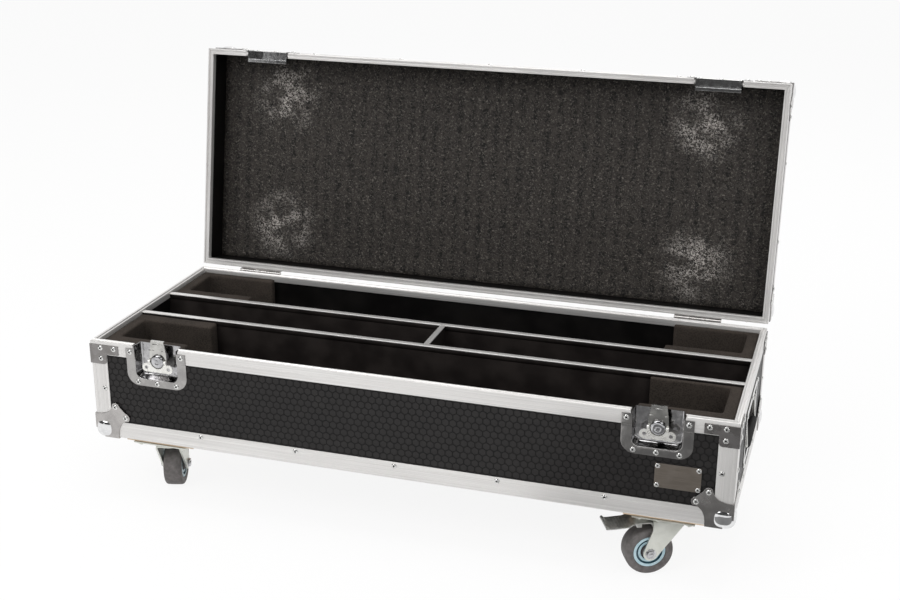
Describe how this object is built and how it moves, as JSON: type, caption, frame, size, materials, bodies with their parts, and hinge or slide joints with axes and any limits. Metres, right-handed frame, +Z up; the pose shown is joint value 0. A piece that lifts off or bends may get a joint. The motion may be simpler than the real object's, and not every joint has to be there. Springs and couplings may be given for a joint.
{
  "type": "lighting flight case",
  "caption": "Long shallow flight case on braked swivel casters, hinged lid open, with foam end cups, capped dividers, recessed turn latches and side handles.",
  "frame": {"origin": "centre of the floor panel's underside, midway between the ends and between the front and back faces", "axes": "+X to the right along the front, +Y from the front face to the hinges, +Z up"},
  "size_m": [1.1126, 0.5796, 0.7189],
  "materials": {
    "black_laminate": "satin",
    "aluminium": "satin",
    "zinc_steel": "satin",
    "pressed_zinc": "gloss",
    "chrome": "polished",
    "birch_edge": "matte",
    "black_rubber": "matte",
    "grey_tyre": "satin",
    "dark_foam": "matte"
  },
  "bodies": {
    "tray": {"tray_shell": "black_laminate", "divider_front": "black_laminate", "divider_back": "black_laminate", "divider_cross": "black_laminate", "tray_frame": "aluminium", "tray_rim_front": "aluminium", "tray_ball_corner_front_left": "zinc_steel", "tray_brace_front_left": "zinc_steel", "foam_cup_front_left": "dark_foam", "caster_plate_front_left": "zinc_steel", "tray_ball_corner_front_right": "zinc_steel", "tray_brace_front_right": "zinc_steel", "foam_cup_front_right": "dark_foam", "caster_plate_front_right": "zinc_steel", "tray_ball_corner_back_left": "zinc_steel", "tray_brace_back_left": "zinc_steel", "foam_cup_back_left": "dark_foam", "caster_plate_back_left": "zinc_steel", "tray_ball_corner_back_right": "zinc_steel", "tray_brace_back_right": "zinc_steel", "foam_cup_back_right": "dark_foam", "caster_plate_back_right": "zinc_steel", "latch_dish_left": "pressed_zinc", "handle_dish_left": "zinc_steel", "caster_board_left": "birch_edge", "hinge_tray_leaf_left": "zinc_steel", "latch_dish_right": "pressed_zinc", "handle_dish_right": "zinc_steel", "caster_board_right": "birch_edge", "hinge_tray_leaf_right": "zinc_steel"},
    "lid": {"lid_shell": "black_laminate", "lid_frame": "aluminium", "lid_rim_front": "aluminium", "lid_ball_corner_front_left": "zinc_steel", "lid_ball_corner_front_right": "zinc_steel", "lid_ball_corner_back_left": "zinc_steel", "lid_ball_corner_back_right": "zinc_steel", "lid_keeper_left": "pressed_zinc", "hinge_lid_leaf_left": "zinc_steel", "lid_keeper_right": "pressed_zinc", "hinge_lid_leaf_right": "zinc_steel", "lid_foam": "dark_foam"},
    "latch_cam_body_left": {"latch_cam_left": "zinc_steel"},
    "latch_wing_body_left": {"latch_wing_left": "zinc_steel"},
    "latch_hook_body_left": {"latch_hook_left": "zinc_steel"},
    "handle_body_left": {"handle_grip_left": "black_rubber"},
    "latch_cam_body_right": {"latch_cam_right": "zinc_steel"},
    "latch_wing_body_right": {"latch_wing_right": "zinc_steel"},
    "latch_hook_body_right": {"latch_hook_right": "zinc_steel"},
    "handle_body_right": {"handle_grip_right": "black_rubber"},
    "swivel_body_front_left": {"caster_fork_front_left": "zinc_steel"},
    "wheel_body_front_left": {"caster_wheel_front_left": "grey_tyre"},
    "swivel_body_front_right": {"caster_fork_front_right": "zinc_steel"},
    "wheel_body_front_right": {"caster_wheel_front_right": "grey_tyre"},
    "swivel_body_back_left": {"caster_fork_back_left": "zinc_steel"},
    "wheel_body_back_left": {"caster_wheel_back_left": "grey_tyre"},
    "swivel_body_back_right": {"caster_fork_back_right": "zinc_steel"},
    "wheel_body_back_right": {"caster_wheel_back_right": "grey_tyre"},
    "pedal_body_left": {"brake_pedal_front_left": "chrome"},
    "pedal_body_right": {"brake_pedal_front_right": "chrome"}
  },
  "joints": [
    {"name": "lid_hinge", "type": "hinge", "parent": "tray", "child": "lid", "pos_m": [0, 0.2153, 0.17593], "axis": [1, 0, 0], "range_deg": [0, 99.6]},
    {"name": "latch_cam_turn_left", "type": "hinge", "parent": "tray", "child": "latch_cam_body_left", "pos_m": [-0.4265, -0.21, 0.14928], "axis": [0, 1, 0], "range_deg": [0, 180]},
    {"name": "latch_wing_fold_left", "type": "hinge", "parent": "latch_cam_body_left", "child": "latch_wing_body_left", "pos_m": [-0.4265, -0.205, 0.14928], "axis": [-1, 0, 0], "range_deg": [0, 90]},
    {"name": "latch_hook_slide_left", "type": "slide", "parent": "tray", "child": "latch_hook_body_left", "axis": [0, 0.6727, -0.7399], "range_m": [0, 0.00743]},
    {"name": "latch_cam_turn_right", "type": "hinge", "parent": "tray", "child": "latch_cam_body_right", "pos_m": [0.4265, -0.21, 0.14928], "axis": [0, 1, 0], "range_deg": [0, 180]},
    {"name": "latch_wing_fold_right", "type": "hinge", "parent": "latch_cam_body_right", "child": "latch_wing_body_right", "pos_m": [0.4265, -0.205, 0.14928], "axis": [-1, 0, 0], "range_deg": [0, 90]},
    {"name": "latch_hook_slide_right", "type": "slide", "parent": "tray", "child": "latch_hook_body_right", "axis": [0, 0.6727, -0.7399], "range_m": [0, 0.00743]},
    {"name": "handle_swing_left", "type": "hinge", "parent": "tray", "child": "handle_body_left", "pos_m": [-0.5464, 0, 0.11], "axis": [0, 1, 0], "range_deg": [0, 90], "stiffness_Nm_per_rad": 0.05, "springref_deg": -28.65},
    {"name": "handle_swing_right", "type": "hinge", "parent": "tray", "child": "handle_body_right", "pos_m": [0.5464, 0, 0.11], "axis": [0, -1, 0], "range_deg": [0, 90], "stiffness_Nm_per_rad": 0.05, "springref_deg": -28.65},
    {"name": "caster_swivel_front_left", "type": "hinge", "parent": "tray", "child": "swivel_body_front_left", "pos_m": [-0.4415, -0.15, -0.02312], "axis": [0, 0, 1], "continuous": true},
    {"name": "wheel_spin_front_left", "type": "hinge", "parent": "swivel_body_front_left", "child": "wheel_body_front_left", "pos_m": [-0.44997, -0.12122, -0.08222], "axis": [-0.9593, -0.2823, 0], "continuous": true},
    {"name": "caster_swivel_front_right", "type": "hinge", "parent": "tray", "child": "swivel_body_front_right", "pos_m": [0.4415, -0.15, -0.02312], "axis": [0, 0, 1], "continuous": true},
    {"name": "wheel_spin_front_right", "type": "hinge", "parent": "swivel_body_front_right", "child": "wheel_body_front_right", "pos_m": [0.41458, -0.16325, -0.08222], "axis": [0.4415, -0.8973, 0], "continuous": true},
    {"name": "caster_swivel_back_left", "type": "hinge", "parent": "tray", "child": "swivel_body_back_left", "pos_m": [-0.4415, 0.15, -0.02312], "axis": [0, 0, 1], "continuous": true},
    {"name": "wheel_spin_back_left", "type": "hinge", "parent": "swivel_body_back_left", "child": "wheel_body_back_left", "pos_m": [-0.43373, 0.17898, -0.08222], "axis": [-0.9659, 0.2588, 0], "continuous": true},
    {"name": "caster_swivel_back_right", "type": "hinge", "parent": "tray", "child": "swivel_body_back_right", "pos_m": [0.4415, 0.15, -0.02312], "axis": [0, 0, 1], "continuous": true},
    {"name": "wheel_spin_back_right", "type": "hinge", "parent": "swivel_body_back_right", "child": "wheel_body_back_right", "pos_m": [0.42303, 0.17364, -0.08222], "axis": [-0.788, -0.6157, 0], "continuous": true},
    {"name": "brake_press_left", "type": "hinge", "parent": "swivel_body_front_left", "child": "pedal_body_left", "pos_m": [-0.44828, -0.12698, -0.03312], "axis": [-0.9593, -0.2823, 0], "range_deg": [0, 12]},
    {"name": "brake_press_right", "type": "hinge", "parent": "swivel_body_front_right", "child": "pedal_body_right", "pos_m": [0.41997, -0.1606, -0.03312], "axis": [0.4415, -0.8973, 0], "range_deg": [0, 12]}
  ],
  "couplings": [
    {"joint": "latch_hook_slide_left", "follows": "latch_cam_turn_left", "m_per_rad": 0.002366},
    {"joint": "latch_hook_slide_right", "follows": "latch_cam_turn_right", "m_per_rad": 0.002366}
  ]
}
